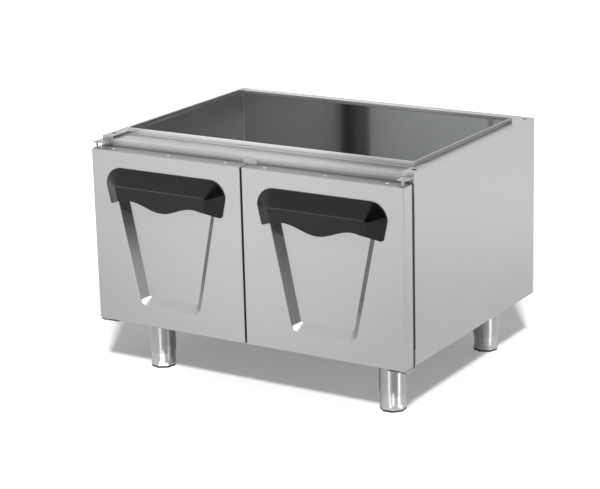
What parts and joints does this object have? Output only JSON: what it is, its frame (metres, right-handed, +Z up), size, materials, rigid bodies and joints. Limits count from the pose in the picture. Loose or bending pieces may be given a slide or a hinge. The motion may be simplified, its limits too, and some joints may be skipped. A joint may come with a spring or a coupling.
{
  "type": "equipment stand cabinet",
  "caption": "Low stainless stand with an open top inside a raised rim, hinged doors with pressed recesses and black hood handles, and round legs with adjustable feet.",
  "frame": {"origin": "on the floor, below the middle of the overall box", "axes": "+X to the right seen from the front, +Y from the doors to the back, +Z up"},
  "size_m": [0.8, 0.644, 0.5625],
  "materials": {
    "steel": "satin brushed sheet",
    "polished_steel": "bright, nearly mirror-like sheet",
    "foot_steel": "turned, satin",
    "pin_steel": "plain turned",
    "handle_plastic": "black moulded, satin",
    "catch_plastic": "pale grey",
    "magnet": "dark ferrite",
    "nylon": "natural nylon",
    "pad_rubber": "black, matt"
  },
  "bodies": {
    "carcass": {"back_panel": "polished_steel", "catch_body": "catch_plastic", "catch_magnet_left": "magnet", "catch_magnet_right": "magnet", "floor_tray": "steel", "front_post_left": "steel", "front_post_right": "steel", "hinge_bracket_lower_left": "steel", "hinge_bracket_lower_right": "steel", "hinge_bracket_upper_left": "steel", "hinge_bracket_upper_right": "steel", "hinge_pin_lower_left": "pin_steel", "hinge_pin_lower_right": "pin_steel", "hinge_pin_upper_left": "pin_steel", "hinge_pin_upper_right": "pin_steel", "leg_nut_front_left": "pin_steel", "leg_nut_front_right": "pin_steel", "leg_nut_rear_left": "pin_steel", "leg_nut_rear_right": "pin_steel", "leg_plate_front_left": "steel", "leg_plate_front_right": "steel", "leg_plate_rear_left": "steel", "leg_plate_rear_right": "steel", "leg_sleeve_front_left": "steel", "leg_sleeve_front_right": "steel", "leg_sleeve_rear_left": "steel", "leg_sleeve_rear_right": "steel", "side_panel_left": "steel", "side_panel_right": "steel", "top_rail_front": "steel", "top_rail_left": "steel", "top_rail_rear": "steel", "top_rail_right": "steel"},
    "left_door": {"door_bush_lower_left": "nylon", "door_bush_upper_left": "nylon", "door_handle_left": "handle_plastic", "door_pan_left": "steel", "door_skin_left": "steel", "door_strike_left": "pin_steel"},
    "right_door": {"door_bush_lower_right": "nylon", "door_bush_upper_right": "nylon", "door_handle_right": "handle_plastic", "door_pan_right": "steel", "door_skin_right": "steel", "door_strike_right": "pin_steel"},
    "adjustable_foot_front_left": {"foot_front_left": "foot_steel", "foot_pad_front_left": "pad_rubber", "foot_stud_front_left": "pin_steel"},
    "adjustable_foot_front_right": {"foot_front_right": "foot_steel", "foot_pad_front_right": "pad_rubber", "foot_stud_front_right": "pin_steel"},
    "adjustable_foot_rear_left": {"foot_pad_rear_left": "pad_rubber", "foot_rear_left": "foot_steel", "foot_stud_rear_left": "pin_steel"},
    "adjustable_foot_rear_right": {"foot_pad_rear_right": "pad_rubber", "foot_rear_right": "foot_steel", "foot_stud_rear_right": "pin_steel"}
  },
  "joints": [
    {"name": "left_door_hinge", "type": "hinge", "parent": "carcass", "child": "left_door", "pos_m": [-0.391, -0.288, 0.1325], "axis": [0, 0, 1], "range_deg": [-170, 0]},
    {"name": "right_door_hinge", "type": "hinge", "parent": "carcass", "child": "right_door", "pos_m": [0.391, -0.288, 0.1325], "axis": [0, 0, 1], "range_deg": [0, 170]},
    {"name": "foot_height_front_left", "type": "slide", "parent": "carcass", "child": "adjustable_foot_front_left", "axis": [0, 0, 1], "range_m": [-0.02, 0.015]},
    {"name": "foot_height_front_right", "type": "slide", "parent": "carcass", "child": "adjustable_foot_front_right", "axis": [0, 0, 1], "range_m": [-0.02, 0.015]},
    {"name": "foot_height_rear_left", "type": "slide", "parent": "carcass", "child": "adjustable_foot_rear_left", "axis": [0, 0, 1], "range_m": [-0.02, 0.015]},
    {"name": "foot_height_rear_right", "type": "slide", "parent": "carcass", "child": "adjustable_foot_rear_right", "axis": [0, 0, 1], "range_m": [-0.02, 0.015]}
  ]
}
